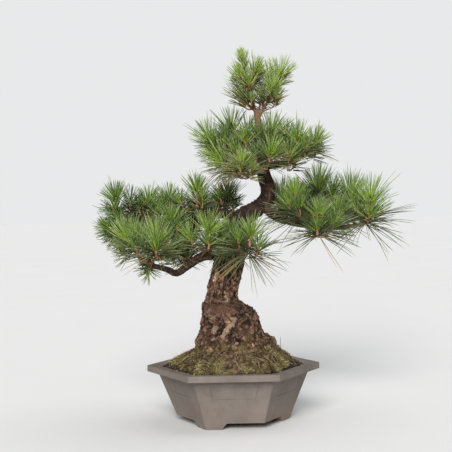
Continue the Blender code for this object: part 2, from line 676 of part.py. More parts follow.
def clear_reach(bud, direction, reach, others, wood):
    """Longest a needle may be: inside its tuft's own cell and clear of all wood."""
    for other in others:
        away = other - bud
        toward = direction.dot(away.normalized())
        if toward > 0:
            reach = min(reach, (away.length / 2 - NEEDLE_SPACE) / toward)
    shares = np.linspace(0, 1, 24)
    first = BUD_RADIUS * 1.25
    if reach <= first:
        return BUD_RADIUS
    lengths = first + shares * (reach - first)
    points = np.array(bud)[None] + lengths[:, None] * np.array(direction)[None]
    half = 0.7 * BUD_RADIUS * (1 - (lengths - BUD_RADIUS) / max(reach - BUD_RADIUS, BUD_RADIUS))
    blocked = np.nonzero(wood_clearance(points, wood) < half + WOOD_SPACE)[0]
    if len(blocked) == 0:
        return reach
    if blocked[0] == 0:
        return BUD_RADIUS
    return max(BUD_RADIUS, float(lengths[blocked[0] - 1]))


def needle_reach(direction, aim, upright, spread):
    """Wanted length: upright needles round the aim, spreading ones beside it, none below."""
    angle = math.degrees(direction.angle(aim))
    if angle > 155:
        return BUD_RADIUS
    blend = min(1.0, max(0.0, (angle - 45) / 35))
    return upright + (spread - upright) * blend


def build_tuft(tuft, buds, wood, material):
    """A bud whose every face is drawn out into a needle."""
    name, branch, bud, aim, upright, spread = tuft
    others = [place for place in buds if place is not bud]
    bm = bmesh.new()
    turn = Vector((0, 0, 1)).rotation_difference(aim).to_matrix().to_4x4()
    spin = Matrix.Rotation(math.pi * noise.noise(bud * 90.0), 4, "Z")
    bmesh.ops.create_uvsphere(bm, u_segments=BUD_SEGMENTS, v_segments=BUD_RINGS,
                              radius=BUD_RADIUS, matrix=turn @ spin)
    tips = bmesh.ops.poke(bm, faces=bm.faces[:])["verts"]
    for tip in tips:
        direction = tip.co.normalized()
        uneven = 1 - NEEDLE_UNEVEN * (0.5 + 0.5 * noise.noise(direction * 9.0 + bud * 50.0))
        wanted = needle_reach(direction, aim, upright, spread) * uneven
        tip.co = direction * clear_reach(bud, direction, wanted, others, wood)
    bmesh.ops.translate(bm, verts=bm.verts, vec=bud)
    return add_object(name, bm, material)


# ---------------------------------------------------------------- whole object
def centre_on_box():
    """Move everything so the box's bottom centre is the origin."""
    low, high = Vector((9, 9, 9)), Vector((-9, -9, -9))
    for obj in bpy.data.objects:
        if obj.hide_render:
            continue
        for vertex in obj.data.vertices:
            low = Vector(map(min, low, vertex.co))
            high = Vector(map(max, high, vertex.co))
    shift = Vector((-(low.x + high.x) / 2, -(low.y + high.y) / 2, 0))
    for mesh in bpy.data.meshes:
        mesh.transform(Matrix.Translation(shift))


def main():
    clear_scene()
    materials = {name: make_material(name) for name in COLOURS}
    tufts = tuft_list()
    build_pot(materials["clay"])
    for index, centre in enumerate(hole_centres()):
        build_screen(index, centre, materials["screen"])
    trunk_room = trunk_room_tool()
    build_soil(materials["soil"], trunk_room)
    build_moss(materials["moss"], trunk_room)
    build_trunk(materials["bark"], tufts)
    wood = wood_capsules(tufts)
    buds = [tuft[2] for tuft in tufts]
    for tuft in tufts:
        build_tuft(tuft, buds, wood, materials["needles"])
    centre_on_box()


main()
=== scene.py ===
"""Looks for the pine bonsai: needles, bark, moss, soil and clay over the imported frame."""
import math

import bmesh
import bpy
import numpy as np
from mathutils import Matrix, Vector, noise
from mathutils.bvhtree import BVHTree


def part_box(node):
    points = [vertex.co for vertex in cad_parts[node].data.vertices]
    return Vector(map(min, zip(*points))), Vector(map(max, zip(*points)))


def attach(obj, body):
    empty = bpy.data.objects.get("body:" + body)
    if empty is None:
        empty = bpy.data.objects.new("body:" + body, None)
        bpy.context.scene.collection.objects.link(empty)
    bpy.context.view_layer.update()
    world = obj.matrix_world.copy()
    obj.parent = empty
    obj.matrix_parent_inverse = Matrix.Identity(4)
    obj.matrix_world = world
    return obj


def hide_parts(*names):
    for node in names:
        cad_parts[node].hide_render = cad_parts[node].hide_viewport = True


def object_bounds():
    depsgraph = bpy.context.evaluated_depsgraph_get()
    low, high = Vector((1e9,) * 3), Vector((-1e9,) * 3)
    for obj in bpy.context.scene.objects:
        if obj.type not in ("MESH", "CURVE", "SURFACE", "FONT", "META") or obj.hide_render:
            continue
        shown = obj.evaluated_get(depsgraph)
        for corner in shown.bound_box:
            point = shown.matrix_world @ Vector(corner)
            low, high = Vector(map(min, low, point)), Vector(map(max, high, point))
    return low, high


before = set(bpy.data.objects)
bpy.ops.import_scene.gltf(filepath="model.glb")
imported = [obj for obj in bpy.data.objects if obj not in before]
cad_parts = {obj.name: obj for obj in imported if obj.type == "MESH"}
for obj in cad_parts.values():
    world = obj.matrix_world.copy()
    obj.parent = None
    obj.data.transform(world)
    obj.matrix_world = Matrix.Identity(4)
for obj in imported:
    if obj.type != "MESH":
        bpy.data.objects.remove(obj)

CAD_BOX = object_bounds()
POT_LOW, POT_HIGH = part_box("pot")
MIDDLE = Vector(((POT_LOW[0] + POT_HIGH[0]) / 2, (POT_LOW[1] + POT_HIGH[1]) / 2, 0.0))
RIM = POT_HIGH[2]
UP = Vector((0, 0, 1))

# ------------ sizes in metres, and other settings
BOX_SPARE = 0.018               # share of the CAD box's side that tips stand out
WELD = 1e-6                     # doubled points of a CAD mesh are nearer than this

NEEDLE_WIDTH = 0.00150
NEEDLE_SHARES = (0.0, 0.28, 0.60, 0.86, 1.0)  # stations along a needle
NEW_PAIRS = 44                  # needle pairs round a full main shoot
OLD_PAIRS = 46
SIDE_PAIRS = (22, 20)           # new and old ones round a side shoot
SIDE_SHOOTS = 3                 # smaller shoots round each main one
SIDE_LEAN = 84                  # most that their old needles lean, in degrees
SHOOT_LENGTH = 0.022
LONG_SHOOT = 0.026              # above it a shoot shows a bare scaly part
SHOOT_RADIUS = 0.0027
SHOOT_STEPS = 12
SIDE_AWAY = (0.022, 0.034)      # of a side shoot from the main one
SIDE_SIZES = (0.66, 0.86)       # share of the main one's size
TWIG_RADII = (0.0016, 0.0016, 0.0015, 0.0014, 0.0)
PAD_RADIUS = 0.06               # this far from its pad's middle a tuft is outer
NEW_LENGTHS = (0.84, 1.06)      # of a needle, by the reach of its tuft
OLD_LENGTHS = (0.78, 1.06)
LONG_SHARE = 0.08               # share of the needles that outgrow the rest
LONG_NEW, LONG_OLD = 1.28, 1.25  # and by how much
GREEN_LIMIT = 0.9               # highest tone of a needle that isn't withered
WITHERED = 1.2
GOLDEN_ANGLE = 2.39996          # turn from one needle pair to the next
FULL_TURN = 6.28                # upper end of a random turn
TUFT_SEED = 100

BARK_VOXEL = 0.0013             # grids that bark and moss are remeshed on
MOSS_VOXEL = 0.0017
PLATE_SIZE, FLAKE_SIZE = 0.0088, 0.0042  # bark plates, and flakes on them
PLATE_RELIEF = 0.0034           # from a crack's bottom to a plate's top
BASE_SIZE, BASE_RELIEF = 0.0030, 0.0010  # what the trunk's base adds to the plates
TRUNK_THICK = (0.018, 0.045)    # wood turns from bough to trunk between these
TWIG_THICK = (0.006, 0.011)     # and from twig to bough
BASE_TOP = (0.118, 0.135)       # heights above the rim: the base fades out
YOUNG_FROM = (0.40, 0.46)       # young wood begins
MOSSY_TOP = (0.015, 0.060)      # moss on the bark ends
FRONT_DEPTH = 0.02              # marks on the bark end this far behind the middle

STRAND_COUNT = 13000            # moss shoots tried on the cushion
CLIMBING_COUNT = 5000           # and on the foot of the bark
CLIMB_REACH = 0.075             # height above the rim where they are tried
CLIMB_LIMIT = 0.042             # and where the last ones grow
STRAND_RADII = (0.00052, 0.00038, 0.0)
STRAND_LENGTHS = (0.003, 0.0095)
STRAND_SEED = 7
DEAD_NEEDLES = 190
DEAD_LENGTHS = (0.014, 0.045)
DEAD_STEPS = 7
DEAD_RADIUS = 0.00042
GRAIN_COUNT = 3200
GRAIN_SIZES = (0.00075, 0.0016)  # radius of the smallest, and what chance adds
GRAIN_SEED = 11
GRAIN_TRIES = 12                # places looked at for each grain of soil
GRAIN_DEPTH = 0.0030            # a grain may lie this deep under the moss

CLAY_BEVEL = 0.0013
SHARP_EDGE = math.radians(20)   # edges flatter than this get no bevel
SLIM_FACE = 0.002               # narrower faces get only a share of the bevel
SLIM_BEVEL = 0.22
PANEL_STEP = 0.001              # faces narrower than this border a sunk panel
PANEL_LINE = 0.0010             # width of the painted shade line round the sunk panels of the pot

FLOOR_REACH = 14.0
SKY_LIGHT = 0.20
NOISE_SEED = 5
noise.seed_set(NOISE_SEED)      # without it the vector noise differs every time


# ------------ shader helper
class Shader:
    """A material with one Principled shader, and short calls that add nodes to it."""

    MIX_INPUTS = (0, 6, 7)      # factor and both colours of a Mix node
    MIX_RESULT = 2

    def __init__(self, name, roughness, specular=0.5):
        self.material = bpy.data.materials.new(name)
        self.material.use_nodes = True
        self.tree = self.material.node_tree
        self.surface = self.tree.nodes["Principled BSDF"]
        self.surface.inputs["Roughness"].default_value = roughness
        self.surface.inputs["Specular IOR Level"].default_value = specular

    def put(self, socket, value):
        if isinstance(value, bpy.types.NodeSocket):
            self.tree.links.new(value, socket)
        else:
            socket.default_value = value

    def node(self, kind, inputs=None, **settings):
        made = self.tree.nodes.new("ShaderNode" + kind)
        for key, value in settings.items():
            setattr(made, key, value)
        for key, value in (inputs or {}).items():
            self.put(made.inputs[key], value)
        return made

    def place(self, stretch=(1, 1, 1)):
        where = self.node("TexCoord").outputs["Object"]
        return self.node("Mapping", {"Vector": where, "Scale": stretch}).outputs[0]

    def noise(self, scale, detail=4.0, rough=0.55, stretch=(1, 1, 1)):
        inputs = {"Vector": self.place(stretch), "Scale": scale, "Detail": detail,
                  "Roughness": rough}
        return self.node("TexNoise", inputs).outputs[0]

    def cells(self, scale, stretch=(1, 1, 1)):
        inputs = {"Vector": self.place(stretch), "Scale": scale}
        return self.node("TexVoronoi", inputs).outputs[0]

    def ramp(self, factor, *stops):
        made = self.node("ValToRGB", {"Fac": factor})
        elements = made.color_ramp.elements
        for index, (position, colour) in enumerate(stops):
            element = elements[index] if index < 2 else elements.new(position)
            element.position = position
            element.color = (*colour, 1.0)
        return made.outputs[0]

    def grey(self, factor, *stops):
        return self.ramp(factor, *((position, (v, v, v)) for position, v in stops))

    def mix(self, factor, first, second, blend="MIX"):
        made = self.node("Mix", data_type="RGBA", blend_type=blend)
        for index, value in zip(self.MIX_INPUTS, (factor, first, second)):
            if isinstance(value, tuple):
                value = (*value, 1.0)
            self.put(made.inputs[index], value)
        return made.outputs[self.MIX_RESULT]

    def times(self, first, second):
        """Two colours multiplied."""
        return self.mix(1.0, first, second, "MULTIPLY")

    def maths(self, operation, first, second):
        made = self.node("Math", operation=operation)
        self.put(made.inputs[0], first)
        self.put(made.inputs[1], second)
        return made.outputs[0]

    def product(self, first, second):
        """Two numbers multiplied."""
        return self.maths("MULTIPLY", first, second)

    def split(self, attribute):
        """The three parts of a colour that the mesh carries at its points."""
        source = self.node("Attribute", attribute_name=attribute).outputs["Color"]
        return self.node("SeparateColor", {"Color": source}).outputs

    def colour(self, value):
        self.put(self.surface.inputs["Base Color"], value)

    def rough(self, value):
        self.put(self.surface.inputs["Roughness"], value)

    def bump(self, height, strength, distance):
        made = self.node("Bump", {"Height": height, "Strength": strength, "Distance": distance})
        self.put(self.surface.inputs["Normal"], made.outputs[0])


# ------------ materials
def needle_material():
    """Pale at the sheath and yellowish at the tip; age is 0 for new needles, 1 for old ones."""
    s = Shader("needle_green", 0.42, 0.55)
    along, tone, age = s.split("tint")[:3]
    fresh = s.ramp(along, (0.0, (0.66, 0.75, 0.09)), (0.15, (0.42, 0.60, 0.060)),
                   (0.36, (0.258, 0.385, 0.052)), (0.9, (0.218, 0.312, 0.088)),
                   (1.0, (0.40, 0.38, 0.20)))
    mature = s.ramp(along, (0.0, (0.24, 0.18, 0.07)), (0.2, (0.108, 0.122, 0.026)),
                    (0.9, (0.215, 0.235, 0.098)), (1.0, (0.34, 0.30, 0.17)))
    green = s.mix(age, fresh, mature)
    variety = s.ramp(tone, (0.0, (0.12, 0.19, 0.22)), (0.25, (0.45, 0.58, 0.62)),
                     (0.50, (0.98, 1.02, 1.04)), (0.86, (1.75, 1.68, 1.95)),
                     (1.0, (2.1, 1.15, 0.9)))
    green = s.times(green, variety)
    s.colour(s.times(green, s.grey(s.noise(260.0, 3.0), (0.3, 0.82), (0.7, 1.12))))
    s.rough(s.grey(s.noise(120.0), (0.3, 0.30), (0.7, 0.46)))
    return s.material


def shoot_material():
    """The reddish scales of a young shoot."""
    s = Shader("shoot_bark", 0.7, 0.3)
    scales = s.cells(520.0, stretch=(1, 1, 0.55))
    base = s.ramp(s.noise(180.0), (0.3, (0.27, 0.140, 0.072)), (0.55, (0.38, 0.21, 0.115)),
                  (0.75, (0.52, 0.34, 0.21)))
    s.colour(s.mix(s.grey(scales, (0.35, 0.0), (0.8, 0.65)), base, (0.20, 0.10, 0.05)))
    s.bump(scales, 0.6, 0.0006)
    return s.material


def bark_material():
    """Plates by their own number, with painted shade in the cracks and painted light on the plate
    tops by height; mossy is below 0 on young twigs.
    """
    s = Shader("bark_plates", 0.88, 0.25)
    height, plate, mossy = s.split("tint")[:3]
    pale, red, shade_mark = s.split("mark")[:3]
    plates = s.ramp(plate, (0.1, (0.078, 0.043, 0.030)), (0.40, (0.120, 0.070, 0.047)),
                    (0.60, (0.172, 0.107, 0.074)), (0.78, (0.290, 0.202, 0.150)),
                    (0.92, (0.48, 0.365, 0.285)))
    rust = s.grey(s.noise(75.0, 6.0, 0.65), (0.46, 0.0), (0.66, 0.6))
    plates = s.mix(rust, plates, (0.150, 0.068, 0.044))
    lichen = s.grey(s.noise(210.0, 6.0, 0.75), (0.52, 0.0), (0.66, 0.9))
    plates = s.mix(lichen, plates, (0.44, 0.345, 0.265))
    plates = s.mix(s.product(pale, 0.90), plates, (0.50, 0.375, 0.305))
    plates = s.mix(s.product(red, 0.75), plates, (0.135, 0.070, 0.050))
    flakes = s.grey(s.noise(420.0, 6.0, 0.7, (1, 1, 0.5)), (0.32, 0.55), (0.70, 1.35))
    plates = s.times(plates, flakes)
    # painted shade in the cracks, painted light on the plate tops
    relief_shading = s.grey(height, (0.16, 0.04), (0.44, 0.32), (0.70, 0.97), (0.96, 2.05))
    bark = s.times(s.times(plates, relief_shading), (0.82, 0.735, 0.645))
    # painted shade where the shade strokes lie
    bark = s.mix(s.product(shade_mark, 0.85), bark, (0.022, 0.016, 0.013))
    green = s.ramp(s.noise(300.0), (0.35, (0.075, 0.052, 0.018)), (0.65, (0.20, 0.165, 0.055)))
    young = s.product(s.maths("MAXIMUM", s.product(mossy, -1.0), 0.0), 0.8)
    stem = s.ramp(s.noise(260.0, 4.0), (0.3, (0.13, 0.066, 0.036)), (0.7, (0.32, 0.19, 0.105)))
    bark = s.mix(young, bark, stem)
    patchy = s.grey(s.noise(110.0, 5.0), (0.40, 0.0), (0.58, 1.0))
    cover = s.product(s.maths("MAXIMUM", mossy, 0.0), patchy)
    s.colour(s.mix(cover, bark, green))
    s.bump(s.noise(650.0, 6.0, 0.7, (1, 1, 0.6)), 0.9, 0.0012)
    return s.material


def moss_material():
    """Olive where the patch is alive, brown flakes elsewhere, and a bare root by its mark."""
    s = Shader("moss_cushion", 0.95, 0.15)
    height, patch, edge = s.split("tint")[:3]
    wood = s.ramp(s.noise(130.0, 5.0, 0.65), (0.32, (0.064, 0.040, 0.023)),
                  (0.50, (0.138, 0.098, 0.050)), (0.68, (0.255, 0.195, 0.112)))
    green = s.ramp(patch, (0.35, (0.090, 0.062, 0.026)), (0.60, (0.122, 0.093, 0.033)),
                   (0.90, (0.178, 0.150, 0.058)))
    green = s.mix(s.grey(patch, (0.12, 1.0), (0.42, 0.0)), green, wood)
    root = s.ramp(s.noise(150.0, 5.0, 0.7), (0.32, (0.060, 0.033, 0.024)),
                  (0.50, (0.165, 0.100, 0.068)), (0.68, (0.330, 0.225, 0.165)))
    green = s.mix(s.product(s.split("mark")[0], 0.85), green, root)
    fine = s.grey(s.noise(900.0, 4.0, 0.7), (0.30, 0.45), (0.70, 1.50))
    moss = s.times(green, fine)
    # painted shade in the moss's hollows, painted light on its tops
    moss = s.times(moss, s.grey(height, (0.12, 0.10), (0.55, 0.95), (0.9, 1.5)))
    s.colour(s.mix(edge, moss, (0.035, 0.025, 0.018)))
    s.bump(s.noise(1100.0, 5.0, 0.7), 1.0, 0.0015)
    return s.material


def strand_material():
    """Living moss shoots, and straw for the dead needles among them."""
    s = Shader("moss_strands", 0.8, 0.2)
    along, tone, dead = s.split("tint")[:3]
    living = s.ramp(tone, (0.0, (0.038, 0.022, 0.011)), (0.35, (0.075, 0.052, 0.020)),
                    (0.65, (0.178, 0.142, 0.056)), (1.0, (0.62, 0.53, 0.31)))
    straw = s.ramp(tone, (0.0, (0.09, 0.050, 0.026)), (0.5, (0.18, 0.118, 0.060)),
                   (1.0, (0.36, 0.28, 0.165)))
    tuft = s.mix(dead, living, straw)
    tuft = s.times(tuft, s.grey(along, (0.0, 0.5), (0.6, 1.1)))
    s.colour(s.times(tuft, s.grey(s.noise(400.0), (0.3, 0.75), (0.7, 1.2))))
    return s.material


def soil_material():
    s = Shader("soil_ground", 0.96, 0.2)
    base = s.ramp(s.noise(350.0, 5.0, 0.65), (0.3, (0.012, 0.009, 0.007)),
                  (0.55, (0.045, 0.031, 0.022)), (0.75, (0.12, 0.085, 0.058)))
    s.colour(base)
    s.bump(s.cells(420.0), 1.0, 0.002)
    return s.material


def grain_material():
    s = Shader("soil_grains", 0.92, 0.25)
    tone = s.split("tint")[1]
    base = s.ramp(tone, (0.0, (0.016, 0.012, 0.010)), (0.55, (0.060, 0.042, 0.030)),
                  (0.82, (0.150, 0.105, 0.070)), (1.0, (0.33, 0.28, 0.22)))
    s.colour(s.times(base, s.grey(s.noise(900.0), (0.3, 0.6), (0.7, 1.3))))
    s.bump(s.noise(1500.0, 4.0), 0.7, 0.0008)
    return s.material


def clay_material():
    """Grey brown clay, paler and pinker in patches towards the feet, with painted shade in the
    panels' lines, and walls painted darker towards the lip as shade under it.
    """
    s = Shader("unglazed_clay", 0.72, 0.32)
    panel_shade = s.node("Attribute", attribute_name="panel_shade").outputs["Fac"]
    low = s.node("SeparateXYZ", {"Vector": s.place()}).outputs["Z"]
    cloudy = s.ramp(s.noise(22.0, 5.0, 0.6), (0.30, (0.168, 0.138, 0.121)),
                    (0.50, (0.204, 0.171, 0.149)), (0.72, (0.246, 0.206, 0.177)))
    streaks = s.grey(s.noise(60.0, 4.0, 0.6, (1, 1, 0.16)), (0.3, 0.93), (0.7, 1.06))
    clay = s.times(cloudy, streaks)
    clay = s.times(clay, s.grey(s.noise(1400.0, 3.0, 0.7), (0.3, 0.90), (0.7, 1.09)))
    specks = s.grey(s.cells(330.0), (0.05, 1.0), (0.11, 0.0))
    clay = s.mix(s.product(specks, 0.35), clay, (0.13, 0.10, 0.085))
    # paler, pinker patches towards the feet
    pale_foot_patches = s.product(s.grey(low, (0.0, 1.0), (0.07, 0.0)),
                       s.grey(s.noise(14.0, 5.0, 0.6), (0.42, 0.0), (0.62, 0.55)))
    clay = s.mix(pale_foot_patches, clay, (0.225, 0.172, 0.136))
    # painted shade in the rings round the sunk panels
    clay = s.mix(s.product(panel_shade, 0.6), clay, (0.075, 0.060, 0.052))
    # painted light: the walls darken towards the lip as shade under it and stay lighter near the
    # floor
    s.colour(s.times(clay, s.grey(low, (0.015, 1.0), (0.085, 0.87))))
    s.rough(s.grey(s.noise(45.0), (0.3, 0.62), (0.7, 0.82)))
    s.bump(s.noise(700.0, 5.0, 0.6), 0.25, 0.0008)
    return s.material


def screen_material():
    s = Shader("screen_plastic", 0.5)
    s.colour(s.ramp(s.noise(300.0), (0.3, (0.012, 0.013, 0.013)), (0.7, (0.030, 0.032, 0.031))))
    s.bump(s.noise(900.0), 0.2, 0.0003)
    return s.material


def floor_material():
    s = Shader("pale_floor", 1.0, 0.0)
    s.colour(s.ramp(s.noise(3.0), (0.3, (0.738, 0.738, 0.736)), (0.7, (0.753, 0.753, 0.751))))
    return s.material


# ------------ mesh helpers
class Heap:
    """Gathers many small parts in one mesh, each with its own strip of the map."""

    STRIP_TALL = 64             # height of a strip over its width
    STRIP_SIZE = (0.8, 0.94)    # share of a strip that is used
    STRIP_START = (0.1, 0.03)

    def __init__(self):
        self.points, self.tints, self.faces, self.slots = [], [], [], []
        self.strips, self.maps = [], []
        self.parts = 0

    def face(self, corners, maps, slot):
        self.faces.append(corners)
        self.maps += maps
        self.strips += [self.parts] * len(corners)
        self.slots.append(slot)

    def tube(self, path, radii, sides, tints, slot=0, squash=1.0, spin=0.0):
        """A tube along a path, flat at its start and ending in a point."""
        first = len(self.points)
        side = UP
        count = len(path)
        for i in range(count - 1):
            along = (path[i + 1] - path[max(i - 1, 0)]).normalized()
            side = side - along * side.dot(along)
            if side.length < 0.05:  # the path runs along it
                side = along.orthogonal()
            side = side.normalized()
            other = along.cross(side)
            for k in range(sides):
                angle = spin + 2 * math.pi * k / sides
                offset = side * math.cos(angle) + other * math.sin(angle) * squash
                self.points.append(path[i] + offset * radii[i])
                self.tints.append(tints[i])
        tip = len(self.points)
        self.points.append(path[-1])
        self.tints.append(tints[-1])
        for i in range(count - 1):
            low, high = i / (count - 1), (i + 1) / (count - 1)
            for k in range(sides):
                a, b = first + i * sides + k, first + i * sides + (k + 1) % sides
                u0, u1 = k / sides, (k + 1) / sides
                if i < count - 2:
                    maps = [(u0, low), (u1, low), (u1, high), (u0, high)]
                    self.face((a, b, b + sides, a + sides), maps, slot)
                else:
                    self.face((a, b, tip), [(u0, low), (u1, low), ((u0 + u1) / 2, high)], slot)
        base = tuple(first + k for k in reversed(range(sides)))
        self.face(base, [(0.0, 0.0)] * sides, slot)
        self.parts += 1

    def piece(self, name, materials):
        mesh = bpy.data.meshes.new(name)
        mesh.from_pydata([tuple(p) for p in self.points], [], self.faces)
        rows = max(1, round(math.sqrt(self.parts / self.STRIP_TALL)))
        columns = math.ceil(self.parts / rows)
        strips = np.array(self.strips)
        maps = np.array(self.maps) * self.STRIP_SIZE + self.STRIP_START
        maps += np.c_[strips % columns, strips // columns]
        maps /= (columns, rows)
        layer = mesh.uv_layers.new(name="OFBake")
        layer.data.foreach_set("uv", maps.astype(np.float32).ravel())
        mesh.polygons.foreach_set("material_index", self.slots)
        mesh.polygons.foreach_set("use_smooth", [True] * len(self.faces))
        set_colours(mesh, "tint", self.tints)
        for material in materials:
            mesh.materials.append(material)
        mesh.update()
        return link_piece(name, mesh)


def set_colours(mesh, name, values):
    """Three values for each point, as a colour that a material can read."""
    data = np.ones((len(mesh.vertices), 4), dtype=np.float32)
    data[:, :3] = np.array(values, dtype=np.float32)
    attribute = mesh.attributes.new(name, "FLOAT_COLOR", "POINT")
    attribute.data.foreach_set("color", data.ravel())


def link_piece(name, mesh):
    piece = bpy.data.objects.new(name, mesh)
    bpy.context.scene.collection.objects.link(piece)
    return piece


def coordinates(mesh):
    data = np.empty(len(mesh.vertices) * 3)
    mesh.vertices.foreach_get("co", data)
    return data.reshape(-1, 3)


def welded(mesh):
    """A CAD mesh for editing, without the doubled points it has along its edges."""
    bm = bmesh.new()
    bm.from_mesh(mesh)
    bmesh.ops.remove_doubles(bm, verts=bm.verts, dist=WELD)
    return bm


def remeshed(node, name, voxel):
    """A new piece on an even grid, made from a CAD node's shape."""
    piece = link_piece(name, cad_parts[node].data.copy())
    bm = welded(piece.data)
    bm.to_mesh(piece.data)
    bm.free()
    modifier = piece.modifiers.new("grid", "REMESH")
    modifier.mode = "VOXEL"
    modifier.voxel_size = voxel
    modifier.use_smooth_shade = True
    graph = bpy.context.evaluated_depsgraph_get()
    mesh = bpy.data.meshes.new_from_object(piece.evaluated_get(graph))
    piece.modifiers.clear()
    piece.data = mesh
    mesh.name = name
    mesh.materials.clear()
    return piece


def reshape(mesh, moved, tints, marks, material):
    """Move a mesh's points and give them the values that its material reads."""
    mesh.vertices.foreach_set("co", np.array(moved).ravel())
    set_colours(mesh, "tint", tints)
    set_colours(mesh, "mark", marks)
    mesh.materials.append(material)
    mesh.update()


def mesh_tree(mesh):
    points = [v.co for v in mesh.vertices]
    return BVHTree.FromPolygons(points, [p.vertices[:] for p in mesh.polygons])


def within(value):
    """The value, held between 0 and 1."""
    return min(1.0, max(0.0, value))


def smoothstep(low, high, value):
    share = within((value - low) / (high - low))
    return share * share * (3 - 2 * share)


# ------------ needle tufts
# most edges at a point of a CAD tuft's spikes, and of its round core apart from the two poles
SPIKE_EDGES = 5
CORE_EDGES = 12


def tuft_shape(node):
    """Centre and aim of a CAD tuft, and how far its tips reach along the aim and across it."""
    bm = welded(node.data)
    points = np.array([v.co[:] for v in bm.verts])
    links = np.array([len(v.link_edges) for v in bm.verts])
    bm.free()
    core = points[links > SPIKE_EDGES]
    poles = points[links > CORE_EDGES]
    rows = np.c_[2 * core, np.ones(len(core))]
    centre = np.linalg.lstsq(rows, (core ** 2).sum(axis=1), rcond=None)[0][:3]
    tips = points[links <= SPIKE_EDGES] - centre
    aim = poles[0] - poles[1]
    aim = aim / np.linalg.norm(aim)
    if (tips @ aim).mean() < 0:
        aim = -aim
    reach = np.linalg.norm(tips, axis=1)
    angle = np.degrees(np.arccos(np.clip(tips @ aim / reach, -1, 1)))
    upright = reach[angle < 50].max()
    spread = reach[(angle > 60) & (angle < 140)].max()
    return Vector(centre), Vector(aim), upright, spread


def room_for(origin, direction, length):
    """The length a needle may have before its tip leaves the CAD box and its spare room."""
    for axis in range(3):
        low, high = CAD_BOX[0][axis], CAD_BOX[1][axis]
        spare = BOX_SPARE * (high - low)
        step = direction[axis]
        if abs(step) > 1e-4:
            edge = high + spare if step > 0 else low - spare
            length = min(length, (edge - origin[axis]) / step)
    return length


def fascicle(heap, rng, origin, direction, length, sag, age, tone):
    """A pair of needles from one sheath, parting slightly and bending a little."""
    length = room_for(origin, direction, length)
    flat = direction.orthogonal().normalized()
    flat = Matrix.Rotation(rng.uniform(0, 2 * math.pi), 3, direction) @ flat
    curve = flat * rng.normal(0, 0.02 + 0.06 * age)
    for hand in (-1, 1):
        part = math.radians(rng.uniform(2.0, 7.0))
        heading = (direction + flat * hand * part).normalized()
        reach = length * rng.uniform(0.93, 1.05)
        bow = flat * hand * rng.uniform(-0.05, 0.03)
        bow = bow + curve + direction.orthogonal() * rng.normal(0, 0.03)
        bow = bow - UP * sag * rng.uniform(0.5, 1.5)
        width = NEEDLE_WIDTH / 2 * rng.uniform(0.82, 1.12)
        path = [origin + (heading * t + bow * t * t) * reach for t in NEEDLE_SHARES]
        radii = [width, width, width * 0.92, width * 0.66, 0.0]
        highest = 1.0 if tone > 1 else GREEN_LIMIT
        shade = min(highest, max(0.0, tone + rng.normal(0, 0.20)))
        tints = [(t, shade, age) for t in NEEDLE_SHARES]
        heap.tube(path, radii, 3, tints, squash=0.75, spin=rng.uniform(0, FULL_TURN))


def fan(heap, rng, centre, aim, upright, spread, pairs, tone, leans, shoot=SHOOT_LENGTH):
    """One shoot: a scaly stem, new needles fanning up from it and old ones spreading below."""
    side = aim.orthogonal().normalized()
    other = aim.cross(side)

    def outward(turn, lean):
        flat = side * math.cos(turn) + other * math.sin(turn)
        return (aim * math.cos(lean) + flat * math.sin(lean)).normalized()

    new, old = pairs
    bare, drop = (0.42, 0.3 * shoot) if shoot > LONG_SHOOT else (0.12, 0.0)
    for i in range(new):
        share = (i + 0.5) / new
        turn = GOLDEN_ANGLE * i + rng.normal(0, 0.25)
        lean = math.radians(leans[0] * math.sqrt(1 - share) + rng.normal(0, 5))
        direction = outward(turn, lean)
        climb = shoot * (bare + (0.85 - bare) * share) - 0.006
        origin = centre + aim * climb + direction * 0.0010
        length = (upright - 0.8 * climb) * rng.uniform(*NEW_LENGTHS)
        length *= LONG_NEW if rng.random_sample() < LONG_SHARE else 1.0
        # new needles a little lighter: painted light on top of the fan
        fascicle(heap, rng, origin, direction, length, -0.02, 0.0, tone + 0.07)
    for i in range(old):
        share = (i + 0.5) / old
        turn = GOLDEN_ANGLE * i + rng.normal(0, 0.3)
        lean = leans[1] + (leans[2] - leans[1]) * (1 - share) + rng.normal(0, 9)
        direction = outward(turn, math.radians(lean))
        origin = centre + aim * (-0.016 + 0.016 * share - drop) + direction * 0.0012
        length = spread * rng.uniform(*OLD_LENGTHS)
        length *= LONG_OLD if rng.random_sample() < LONG_SHARE else 1.0
        sag = 0.03 + 0.07 * rng.random_sample()
        withered = rng.random_sample() < 0.03 + 0.13 * (1 - share) ** 2
        if drop and direction.y < -0.7:
            continue  # the scaly shoot shows at the front
        # old needles a little darker: painted shade under the fan
        old_tone = WITHERED if withered else tone - 0.06
        fascicle(heap, rng, origin, direction, length, sag, 1.0, old_tone)
    girth = SHOOT_RADIUS * (0.45 + 25 * shoot)
    path, radii, tints = [], [], []
    for i in range(SHOOT_STEPS + 1):
        t = i / SHOOT_STEPS
        path.append(centre + aim * (-0.0085 - drop + (shoot + drop) * t))
        ripple = 1 + 0.16 * math.sin(i * 2.4)
        radii.append(girth * ripple * (1 - 0.35 * t) if i < SHOOT_STEPS else 0.0)
        tints.append((t, 0.5, 0.0))
    heap.tube(path, radii, 8, tints, slot=1)


